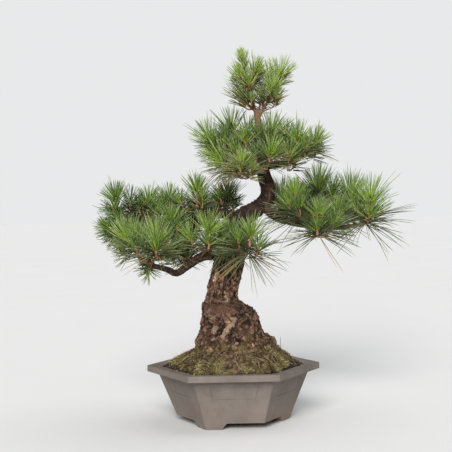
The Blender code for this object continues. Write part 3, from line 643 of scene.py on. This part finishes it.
def side_shoot(heap, rng, centre, aim, turn, upright, spread, outward, leans, tone):
    """A smaller shoot beside a main one, on a twig of its own; none stands out of the pad."""
    side = aim.orthogonal().normalized()
    flat = Matrix.Rotation(turn, 3, aim) @ side
    outer = smoothstep(-0.2, 0.8, flat.dot(outward))
    away = rng.uniform(*SIDE_AWAY) * min(1.0, upright / 0.05) * (1 - 0.65 * outer)
    place = centre + flat * away - aim * rng.uniform(0.004, 0.016)
    heading = (aim + flat * 0.40 * (1 - outer) + UP * 0.25).normalized()
    start = centre - aim * 0.024
    bend = place - heading * 0.02
    path = []
    for t in (0.0, 0.25, 0.5, 0.75, 1.0):
        path.append(start * (1 - t) ** 2 + bend * 2 * t * (1 - t) + place * t * t)
    heap.tube(path, TWIG_RADII, 6, [(0.2, 0.4, 0.0)] * len(path), slot=1)
    size = rng.uniform(*SIDE_SIZES) * (1 - 0.15 * outer)
    upright, spread = upright * size, spread * size * 0.88
    leans = (leans[0], leans[1], min(leans[2], SIDE_LEAN))
    fan(heap, rng, place, heading, upright, spread, SIDE_PAIRS, tone, leans)


# tone of a tuft's needles, 0 to 1 from dark to yellowish; the others get one near the middle
TUFT_TONES = {
    "left_01": 0.27, "left_02": 0.37, "left_03": 0.34, "left_04": 0.42, "left_05": 0.34,
    "left_06": 0.56, "left_07": 0.48, "left_08": 0.40, "left_09": 0.52, "left_10": 0.40,
    "left_11": 0.38, "left_12": 0.28, "left_13": 0.34, "left_14": 0.36, "left_15": 0.36,
    "front_01": 0.42, "front_02": 0.38,
    "right_01": 0.44, "right_02": 0.42, "right_03": 0.34, "right_04": 0.36, "right_05": 0.46,
    "right_06": 0.40,
    "crown_02": 0.36, "crown_03": 0.36, "crown_06": 0.60, "crown_07": 0.66, "crown_11": 0.40,
    "crown_12": 0.36, "crown_13": 0.36,
    "apex_01": 0.68, "apex_02": 0.68, "apex_03": 0.66, "apex_04": 0.68, "apex_05": 0.66,
    "apex_06": 0.64, "apex_07": 0.64,
}
# lean from the shoot's line, in degrees: the lowest new needles, and the highest and lowest old
# ones; a tuft that isn't named takes its group's
TUFT_LEANS = {
    "left": (52, 50, 94), "front": (50, 50, 140), "right": (48, 48, 118),
    "crown": (44, 46, 90), "apex": (36, 34, 56),
    "left_01": (54, 50, 104), "left_06": (42, 44, 106), "left_07": (46, 48, 114),
    "left_11": (84, 70, 130),
    "right_01": (42, 46, 112), "right_03": (40, 36, 66), "right_04": (38, 40, 80),
    "right_05": (56, 54, 124),
    "apex_01": (32, 26, 38), "apex_02": (44, 40, 52), "apex_03": (28, 28, 40),
    "apex_06": (46, 40, 58), "apex_07": (44, 34, 50),
}
# tufts that are thinner than the rest: share of the needles, and number of side shoots
TUFT_THIN = {
    "left_11": (0.42, 2), "front_01": (1.0, 2),
    "crown_01": (0.72, 3), "crown_02": (0.72, 2), "crown_03": (0.65, 1), "crown_04": (0.72, 2),
    "crown_05": (0.75, 3), "crown_06": (0.75, 3), "crown_08": (0.6, 1), "crown_09": (0.5, 1),
    "crown_10": (0.5, 1), "crown_11": (0.8, 2), "crown_12": (0.9, 2),
    "apex_01": (0.9, 2), "apex_02": (0.9, 1), "apex_03": (0.7, 0), "apex_04": (0.7, 1),
    "apex_05": (0.85, 1), "apex_06": (0.8, 1), "apex_07": (0.7, 1),
}
# length of the scaly shoot, in the tufts where it isn't the usual one
TUFT_SHOOTS = {
    "left_01": 0.030, "left_04": 0.034, "left_06": 0.024, "left_07": 0.024, "left_09": 0.030,
    "front_01": 0.030, "right_01": 0.040, "right_02": 0.034, "right_05": 0.036,
    "crown_05": 0.025, "crown_06": 0.025, "crown_07": 0.025,
}
# tufts whose needles are shorter or longer than their solid
TUFT_REACH = {
    "left_06": 0.84, "left_11": 0.8, "left_12": 0.90, "right_03": 1.16, "right_05": 1.03,
    "crown_01": 0.94, "crown_02": 1.18, "crown_03": 1.18, "crown_05": 0.88,
    "apex_01": 1.20, "apex_02": 1.12, "apex_05": 1.05,
}


def build_tufts(needle, shoot):
    names = sorted(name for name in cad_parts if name.startswith("needles_"))
    shapes = {name: tuft_shape(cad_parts[name]) for name in names}
    for index, name in enumerate(names):
        rng = np.random.RandomState(TUFT_SEED + index)
        centre, aim, upright, spread = shapes[name]
        label = name[len("needles_"):]
        group = label.split("_")[0]
        pad = [shapes[other][0] for other in names if group in other]
        outward = centre - sum(pad, Vector()) / len(pad)
        outward = outward * min(1.0, outward.length / PAD_RADIUS) / max(outward.length, 1e-6)
        heap = Heap()
        tone = TUFT_TONES.get(label, rng.uniform(0.42, 0.56))
        leans = TUFT_LEANS.get(label, TUFT_LEANS[group])
        share, sides = TUFT_THIN.get(label, (1.0, SIDE_SHOOTS))
        upright *= TUFT_REACH.get(label, 1.0)
        spread *= TUFT_REACH.get(label, 1.0)
        pairs = (round(NEW_PAIRS * share), round(OLD_PAIRS * share))
        shoot_length = TUFT_SHOOTS.get(label, SHOOT_LENGTH)
        fan(heap, rng, centre, aim, upright, spread, pairs, tone, leans, shoot_length)
        turn = rng.uniform(0, 2 * math.pi)
        for _ in range(sides):
            turn += 2 * math.pi / sides
            # side shoots darker: painted shade inside the pad
            side_shoot(heap, rng, centre, aim, turn + rng.normal(0, 0.3), upright, spread,
                       outward, leans, tone - 0.12 + rng.normal(0, 0.08))
        piece = heap.piece(name.replace("needles", "tuft"), (needle, shoot))
        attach(piece, "root")
        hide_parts(name)


# ------------ bark
# stroke kinds: pale scars, red bare wood, and painted shade
PALE, RED, SHADE_MARK = 0, 1, 2
# strokes on the front of the wood: both ends (sideways and up from the middle of the rim) and
# reach, in metres, then what it marks and how strongly
BARK_MARKS = (
    ((-0.048, 0.086), (-0.048, 0.086), 0.0055, SHADE_MARK, 1.0),  # the knot, its hole darkened with painted shade
    ((-0.042, 0.072), (-0.037, 0.080), 0.0055, PALE, 0.9),  # scars
    ((-0.021, 0.064), (-0.012, 0.078), 0.0048, PALE, 1.0),
    ((-0.012, 0.078), (0.004, 0.093), 0.0056, PALE, 1.0),
    ((-0.003, 0.098), (0.009, 0.096), 0.0035, PALE, 0.55),
    ((-0.034, 0.117), (0.003, 0.116), 0.0115, RED, 1.0),  # the bare patch
    ((-0.048, 0.112), (-0.036, 0.108), 0.0080, PALE, 0.35),
    ((0.002, 0.113), (0.009, 0.112), 0.0030, PALE, 0.8),
    ((-0.017, 0.131), (-0.008, 0.131), 0.0030, PALE, 0.6),
    ((0.016, 0.073), (0.034, 0.070), 0.0120, RED, 0.6),
    ((0.016, 0.122), (0.050, 0.106), 0.0100, SHADE_MARK, 0.5),  # shade and cracks
    ((-0.060, 0.127), (-0.040, 0.127), 0.0030, SHADE_MARK, 0.5),
    ((-0.072, 0.202), (-0.112, 0.186), 0.0200, SHADE_MARK, 0.6),  # painted shade on the lower left bough
    ((-0.112, 0.186), (-0.190, 0.210), 0.0200, SHADE_MARK, 0.6),
    ((0.016, 0.285), (0.062, 0.322), 0.0300, SHADE_MARK, 0.6),  # painted shade on the bend of the trunk
    ((0.062, 0.322), (0.068, 0.385), 0.0280, SHADE_MARK, 0.6),
    # painted shadow under the ledge of the base
    ((-0.030, 0.127), (0.030, 0.128), 0.0030, SHADE_MARK, 0.5),
    ((-0.110, 0.320), (0.040, 0.325), 0.0320, SHADE_MARK, 0.9),  # wood in the crown's shade
)
# bumps and dents in the wood: place as above, reach, and height; those placed by three numbers
# lie at one depth, and the others go right through
BARK_LUMPS = (
    ((0.049, 0.0, 0.108), 0.017, 0.0045),
    ((0.065, 0.072), 0.015, -0.006),
    ((0.087, 0.047), 0.012, 0.005),
    ((-0.076, 0.046), 0.022, 0.006),
    ((-0.060, -0.01, 0.122), 0.010, 0.003),
    ((0.012, -0.10, 0.022), 0.022, 0.006),
    ((-0.048, -0.050, 0.086), 0.006, -0.007),
    ((-0.048, -0.050, 0.086), 0.014, 0.004),
)


def stroke_distance(x, z, start, end):
    """Distance of a point from a straight stroke between two points, seen from the front."""
    run, rise = end[0] - start[0], end[1] - start[1]
    share = ((x - start[0]) * run + (z - start[1]) * rise) / max(run * run + rise * rise, 1e-9)
    share = within(share)
    return math.hypot(x - start[0] - share * run, z - start[1] - share * rise)


def bark_height(where, size, stretch):
    """Height of a flaky plate at a point, 0 in the cracks, and the plate's own number."""
    local = Vector((where.x, where.y, where.z * stretch)) / size
    local += noise.noise_vector(local * 0.8) * 0.7 + noise.noise_vector(local * 2.7) * 0.22
    distances, centres = noise.voronoi(local)
    crack = smoothstep(0.0, 0.24, distances[1] - distances[0])
    open_here = smoothstep(-0.35, 0.35, noise.noise(local * 0.55 + Vector((9.0, 2.0, 5.0))))
    crack = 1 - (1 - crack) * (0.45 + 0.55 * open_here)
    number = noise.cell_vector(centres[0] * 7.31 + Vector((3.1, 5.7, 1.9)))
    tilt = (local - centres[0]).dot(Vector(number) - Vector((0.5, 0.5, 0.5)))
    height = crack * (0.60 + 0.40 * number[0]) + 0.7 * tilt
    return height, number[1]


def bark_marks(place, ragged):
    """How pale and red the strokes make a place on the wood, and how much painted shade they lay
    on it.
    """
    mark = [0.0, 0.0, 0.0]
    if place.y < FRONT_DEPTH:
        for start, end, reach, kind, strength in BARK_MARKS:
            far = stroke_distance(place.x, place.z, start, end) / reach + ragged
            mark[kind] = max(mark[kind], strength * (1 - smoothstep(0.65, 1.2, far)))
    return mark


def lump_lifts(place, trunk):
    """What each bump and dent adds to the wood at a place; twigs get none."""
    for centre, reach, height in BARK_LUMPS:
        if len(centre) == 3:
            far = (place - Vector(centre)).length
        else:
            far = math.hypot(place.x - centre[0], place.z - centre[1])
        yield trunk * height * math.exp(-(far / reach) ** 2)


def build_bark(material):
    piece = remeshed("trunk", "bark", BARK_VOXEL)
    mesh = piece.data
    tree = mesh_tree(mesh)
    tints, marks, moved = [], [], []
    for vertex in mesh.vertices:
        point, normal = vertex.co.copy(), vertex.normal.copy()
        hit = tree.ray_cast(point - normal * 0.0004, -normal, 0.3)
        thick = hit[3] if hit[0] is not None else 0.004
        trunk = smoothstep(*TRUNK_THICK, thick)
        where = point - MIDDLE
        rise = where.z - RIM
        base = trunk * (1 - smoothstep(*BASE_TOP, rise))
        size = PLATE_SIZE + BASE_SIZE * base
        coarse, number = bark_height(where, size, 0.36 + 0.40 * base)
        fine, small = bark_height(where, FLAKE_SIZE, 0.30 + 0.40 * base)
        coarse = 0.74 * coarse + 0.26 * fine
        rough = noise.fractal(where * 110.0, 0.85, 2.1, 3)
        lump = noise.fractal(where * 24.0, 1.0, 2.0, 2)
        place = where - Vector((0, 0, RIM))
        ragged = 0.48 * noise.noise(where * 130.0) + 0.42 * noise.noise(where * 330.0)
        mark = bark_marks(place, ragged)
        bared = max(mark[PALE], mark[RED])
        calm = 1 - 0.7 * bared
        relief = PLATE_RELIEF + BASE_RELIEF * base
        lift = trunk * relief * calm * (coarse - 0.6 + 0.4 * rough) + 0.0060 * base * lump
        thin = min(0.0011, 0.05 * thick)
        lift += thin * (fine - 0.5) + 0.5 * thin * rough - 0.0016 * mark[SHADE_MARK] * trunk
        for extra in lump_lifts(place, trunk):
            lift += extra
        moved.append(point + normal * lift)
        height = trunk * coarse + (1 - trunk) * (0.35 + 0.5 * fine)
        height = height * 0.88 + 0.06 * fine + 0.26 * rough
        even = 0.75 * bared
        height = within(height * (1 - even) + 0.66 * even)
        mossy = 1 - smoothstep(*MOSSY_TOP, rise + 0.035 * noise.noise(where * 30.0))
        blotch = 0.5 + 0.8 * noise.fractal(where * 65.0, 0.9, 2.1, 3)
        plate = trunk * (0.35 * number + 0.2 * small + 0.45 * blotch) + (1 - trunk) * 0.3 * small
        young = max(1 - smoothstep(*TWIG_THICK, thick), smoothstep(*YOUNG_FROM, rise))
        tints.append((height, within(plate), mossy * trunk - young))
        marks.append(mark)
    reshape(mesh, moved, tints, marks, material)
    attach(piece, "root")
    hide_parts("trunk")
    return mesh


# ------------ moss
def root_line(where):
    """1 on the root that comes forward under the moss, falling to 0 beside it."""
    rise = max(0.0, where.z - RIM)
    across = where.x - 0.006 + 0.15 * (where.y + 0.10) + 0.010 * noise.noise(where * 60.0)
    across += 0.35 * rise
    return math.exp(-(across / (0.010 + 0.50 * rise)) ** 2) * smoothstep(-0.02, -0.05, where.y)


def greenness(where):
    """How alive the moss is at a place: low on the roots and near the wood, high in the clumps."""
    far = math.hypot(where.x, where.y)
    streak = Vector((where.x / far * 4.5, where.y / far * 4.5, far * 14.0))
    clumps = 0.68 + 0.6 * noise.fractal(where * 38.0, 0.8, 2.1, 5)
    clumps += 1.05 * noise.fractal(streak, 0.8, 2.1, 4)
    rise = where.z - RIM
    value = clumps + 0.10 - 0.75 * smoothstep(0.008, 0.032, rise) - 0.75 * root_line(where)
    return within(value + 0.25 * smoothstep(-0.02, -0.07, where.x))


def build_moss(material):
    piece = remeshed("moss", "moss_cushion", MOSS_VOXEL)
    mesh = piece.data
    tints, marks, moved = [], [], []
    for vertex in mesh.vertices:
        where = vertex.co - MIDDLE
        top = smoothstep(-0.1, 0.4, vertex.normal.z)
        lump = noise.noise(where * 75.0)
        tuft = noise.fractal(where * 190.0, 0.8, 2.1, 4)
        alive = greenness(where)
        root = root_line(where)
        bare = 1 - smoothstep(0.15, 0.45, alive)
        flake = bark_height(where, 0.0095, 0.9)[0]
        lift = 0.0026 * lump + 0.0018 * tuft + 0.0035 * root
        lift = top * (lift + 0.0026 * bare * (flake - 0.45))
        moved.append(vertex.co + vertex.normal * lift)
        edge = 1 - smoothstep(-0.004, 0.004, vertex.co.z - RIM + 0.004 * lump)
        height = (0.5 + 0.35 * lump + 0.35 * tuft) * (1 - bare) + (flake - 0.1) * bare
        tints.append((height, alive, 0.6 * edge))
        marks.append((root, 0.0, 0.0))
    reshape(mesh, moved, np.clip(tints, 0, 1), marks, material)
    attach(piece, "root")
    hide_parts("moss")
    return mesh


def surface_points(mesh, rng, count, least=0.25, top=1.0):
    """Points spread evenly over the upward faces of a mesh, with their normals."""
    mesh.calc_loop_triangles()
    points = coordinates(mesh)
    corners = np.array([t.vertices[:] for t in mesh.loop_triangles])
    a, b, c = points[corners[:, 0]], points[corners[:, 1]], points[corners[:, 2]]
    cross = np.cross(b - a, c - a)
    area = np.linalg.norm(cross, axis=1)
    normal = cross / np.maximum(area, 1e-12)[:, None]
    weight = np.where((normal[:, 2] > least) & (a[:, 2] < top), area, 0.0)
    chosen = rng.choice(len(corners), count, p=weight / weight.sum())
    u, v = rng.random_sample((2, count))
    flip = u + v > 1
    u[flip], v[flip] = 1 - u[flip], 1 - v[flip]
    places = a[chosen] + (b - a)[chosen] * u[:, None] + (c - a)[chosen] * v[:, None]
    return [Vector(p) for p in places], [Vector(n) for n in normal[chosen]]


def moss_shoots(heap, rng, moss, bark):
    """Short shoots on the living moss, fewer on its bare parts, and some up the bark's foot."""
    places, normals = surface_points(moss, rng, STRAND_COUNT)
    climbing = surface_points(bark, rng, CLIMBING_COUNT, least=-0.3, top=RIM + CLIMB_REACH)
    for index, (place, normal) in enumerate(zip(places + climbing[0], normals + climbing[1])):
        where = place - MIDDLE
        alive = greenness(where)
        if root_line(where) > 0.5 or (alive < 0.25 and rng.random_sample() < 0.75):
            continue
        if index >= STRAND_COUNT:
            ragged = where.z - RIM + 0.030 * noise.noise(where * 32.0) + abs(rng.normal(0, 0.010))
            if ragged > CLIMB_LIMIT or where.z < RIM:
                continue
        down = normal - UP
        down = down - normal * down.dot(normal)
        scatter = Vector(rng.normal(0, 0.5, 3))
        lean = (normal * rng.uniform(0.25, 1.0) + down * 1.2 + scatter).normalized()
        length = rng.uniform(*STRAND_LENGTHS) * (0.5 + 0.6 * alive)
        bow = Vector(rng.normal(0, 0.25, 3)) - UP * 0.15
        shares = (0.0, 0.5, 1.0)
        path = [place - normal * 0.0006 + (lean * t + bow * t * t) * length for t in shares]
        speckle = 0.55 * noise.noise(where * 210.0)
        tone = within(0.12 + 0.65 * alive + speckle + rng.normal(0, 0.14))
        heap.tube(path, STRAND_RADII, 3, [(t, tone, 0.0) for t in shares])


def dead_needles(heap, rng, moss, bark_tree):
    """Fallen needles that follow the moss downhill, and stop where the wood comes out of it."""
    tree = mesh_tree(moss)
    for place in surface_points(moss, rng, DEAD_NEEDLES)[0]:
        radial = Vector((place.x - MIDDLE.x, place.y - MIDDLE.y, 0)).normalized()
        heading = Matrix.Rotation(rng.normal(0, 0.9), 3, "Z") @ radial
        step = rng.uniform(*DEAD_LENGTHS) / DEAD_STEPS
        curl = rng.normal(0, 16.0)
        tone = rng.uniform(0.2, 1.0)
        dead = float(rng.random_sample() > 0.35 + 0.4 * greenness(place - MIDDLE))
        path, tints = [], []
        spot = place.copy()
        for i in range(DEAD_STEPS + 1):
            hit = tree.ray_cast(Vector((spot.x, spot.y, 1.0)), -UP, 2.0)
            wood = bark_tree.ray_cast(Vector((spot.x, spot.y, spot.z + 0.02)), -UP, 0.03)
            if hit[0] is None or (wood[0] is not None and wood[0].z > hit[0].z):
                break
            arch = 0.0012 + 0.0022 * math.sin(math.pi * i / DEAD_STEPS)
            path.append(hit[0] + UP * arch)
            tints.append((0.4 + 0.6 * i / DEAD_STEPS, tone, dead))
            heading = Matrix.Rotation(curl * step, 3, "Z") @ heading
            spot = spot + heading * step
        if len(path) > 3:
            heap.tube(path, [DEAD_RADIUS] * (len(path) - 1) + [0.0], 3, tints)


def lone_stalk(heap):
    """The thin upright stalk right of the trunk."""
    foot = MIDDLE + Vector((0.098, -0.010, RIM + 0.022))
    path = [foot + Vector((-0.0006 * t * t, 0, 0.036 * t)) for t in (0.0, 0.4, 0.8, 1.0)]
    heap.tube(path, (0.0005, 0.0005, 0.0004, 0.0), 3, [(0.6, 0.2, 0.0)] * len(path))


def build_strands(moss, bark, material):
    """Everything fine that grows or lies on the moss, as one piece."""
    rng = np.random.RandomState(STRAND_SEED)
    heap = Heap()
    moss_shoots(heap, rng, moss, bark)
    dead_needles(heap, rng, moss, mesh_tree(bark))
    lone_stalk(heap)
    piece = heap.piece("moss_strands", (material,))
    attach(piece, "root")


# ------------ soil
def build_grains(moss, material):
    """Loose grains on the soil, where the moss leaves it open."""
    rng = np.random.RandomState(GRAIN_SEED)
    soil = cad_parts["soil"].data
    moss_tree = mesh_tree(moss)
    ball = bmesh.new()
    bmesh.ops.create_icosphere(ball, subdivisions=1, radius=1.0)
    shape = np.array([v.co[:] for v in ball.verts])
    faces = np.array([[v.index for v in f.verts] for f in ball.faces])
    ball.free()
    points, tints, all_faces = [], [], []
    for place in surface_points(soil, rng, GRAIN_COUNT * GRAIN_TRIES)[0]:
        if len(points) == GRAIN_COUNT:
            break
        hit = moss_tree.ray_cast(Vector((place.x, place.y, 1.0)), -UP, 2.0)
        if hit[0] is not None and hit[0].z > place.z + GRAIN_DEPTH:
            continue
        size = GRAIN_SIZES[0] + GRAIN_SIZES[1] * rng.random_sample() ** 2
        turn = np.array(Matrix.Rotation(rng.uniform(0, FULL_TURN), 3, rng.normal(0, 1, 3)))
        stretch = rng.uniform(0.7, 1.25, 3)
        jag = rng.uniform(0.82, 1.15, (len(shape), 1))
        centre = np.array(place + UP * size * rng.uniform(0.1, 0.8))
        all_faces.append(faces + len(points) * len(shape))
        points.append((shape * stretch * jag * size) @ turn.T + centre)
        tints += [(0.0, rng.random_sample() ** 1.3, 0.0)] * len(shape)
    mesh = bpy.data.meshes.new("soil_grains")
    mesh.from_pydata(np.concatenate(points).tolist(), [], np.concatenate(all_faces).tolist())
    set_colours(mesh, "tint", tints)
    mesh.materials.append(material)
    piece = link_piece("soil_grains", mesh)
    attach(piece, "root")


# ------------ pot
def face_width(face):
    return face.calc_area() / max(edge.calc_length() for edge in face.edges)


def build_pot(material):
    """The clay pot with softened edges, and painted shade round the inside of its sunk panels."""
    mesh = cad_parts["pot"].data.copy()
    mesh.name = "clay_pot"
    bm = welded(mesh)
    bmesh.ops.dissolve_limit(bm, angle_limit=math.radians(1.0), verts=bm.verts, edges=bm.edges)
    weight = bm.edges.layers.float.new("bevel_weight_edge")
    panel_shade = bm.faces.layers.float.new("panel_shade")
    for edge in bm.edges:
        if len(edge.link_faces) != 2 or edge.calc_face_angle(0.0) < SHARP_EDGE:
            continue
        slim = min(face_width(face) for face in edge.link_faces) < SLIM_FACE
        edge[weight] = SLIM_BEVEL if slim else 1.0
    steps = {face for face in bm.faces
             if face_width(face) < PANEL_STEP and face.calc_center_median().z < 0.8 * RIM}
    panels = [face for face in bm.faces if face not in steps
              and all(steps & set(edge.link_faces) for edge in face.edges)]
    # the rings round the sunk panels get painted shade
    rings = bmesh.ops.inset_individual(bm, faces=panels, thickness=PANEL_LINE)["faces"]
    for face in rings:
        face[panel_shade] = 1.0
    bm.to_mesh(mesh)
    bm.free()
    mesh.materials.clear()
    mesh.materials.append(material)
    piece = link_piece("clay_pot", mesh)
    bevel = piece.modifiers.new("soft_edges", "BEVEL")
    bevel.limit_method = "WEIGHT"
    bevel.width = CLAY_BEVEL
    bevel.segments = 3
    bevel.use_clamp_overlap = False
    bevel.harden_normals = True
    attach(piece, "root")
    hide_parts("pot")


# ------------ studio
def sun_light(name, towards, strength, spread, colour):
    """A distant light, soft by its spread in degrees; towards points from the tree to it."""
    data = bpy.data.lights.new(name, "SUN")
    data.energy = strength
    data.angle = math.radians(spread)
    data.color = colour
    light = bpy.data.objects.new(name, data)
    light.rotation_euler = Vector(towards).to_track_quat("Z", "Y").to_euler()
    bpy.context.scene.collection.objects.link(light)


def build_camera():
    """The photo's own view, from its fitted camera."""
    data = bpy.data.cameras.new("camera")
    data.sensor_width = 36.0
    data.lens = 88.96
    data.clip_end = 50.0
    camera = bpy.data.objects.new("camera", data)
    camera.location = (MIDDLE.x - 0.0097, MIDDLE.y - 2.29, 0.478)
    pitch = Matrix.Rotation(math.radians(90 - 1.96), 4, "X")
    roll = Matrix.Rotation(math.radians(-1.07), 4, "Z")
    camera.rotation_euler = (pitch @ roll).to_euler()
    bpy.context.scene.collection.objects.link(camera)
    bpy.context.scene.camera = camera


def build_floor():
    mesh = bpy.data.meshes.new("floor")
    far = FLOOR_REACH
    corners = [(-far, -far, 0), (far, -far, 0), (far, far, 0), (-far, far, 0)]
    mesh.from_pydata(corners, [], [(0, 1, 2, 3)])
    mesh.materials.append(floor_material())
    floor = link_piece("floor", mesh)


def build_world():
    """A dim blue white that lights the tree, and a brighter one that the camera sees."""
    world = bpy.data.worlds.new("studio")
    bpy.context.scene.world = world
    world.use_nodes = True
    tree = world.node_tree
    lit = tree.nodes["Background"]
    lit.inputs["Color"].default_value = (0.95, 0.975, 1.0, 1.0)
    lit.inputs["Strength"].default_value = SKY_LIGHT
    seen = tree.nodes.new("ShaderNodeBackground")
    seen.inputs["Color"].default_value = (0.81, 0.815, 0.82, 1.0)
    path = tree.nodes.new("ShaderNodeLightPath")
    blend = tree.nodes.new("ShaderNodeMixShader")
    tree.links.new(path.outputs["Is Camera Ray"], blend.inputs[0])
    tree.links.new(lit.outputs[0], blend.inputs[1])
    tree.links.new(seen.outputs[0], blend.inputs[2])
    tree.links.new(blend.outputs[0], tree.nodes["World Output"].inputs["Surface"])


def build_studio():
    build_camera()
    build_floor()
    sun_light("key", towards=(-0.12, -0.84, 0.46), strength=3.75, spread=28,
              colour=(1.0, 0.985, 0.965))
    sun_light("soft_top", towards=(0.25, 0.15, 1.0), strength=1.15, spread=60,
              colour=(0.97, 0.985, 1.0))
    build_world()
    bpy.context.scene.view_settings.view_transform = "Standard"
    bpy.context.scene.view_settings.look = "None"


# ------------ everything
def main():
    build_studio()
    build_pot(clay_material())
    bark = build_bark(bark_material())
    moss = build_moss(moss_material())
    build_strands(moss, bark, strand_material())
    build_grains(moss, grain_material())
    build_tufts(needle_material(), shoot_material())
    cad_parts["soil"].material_slots[0].material = soil_material()
    screen = screen_material()
    for number in (1, 2, 3):
        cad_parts[f"drain_screen_{number}"].material_slots[0].material = screen


main()
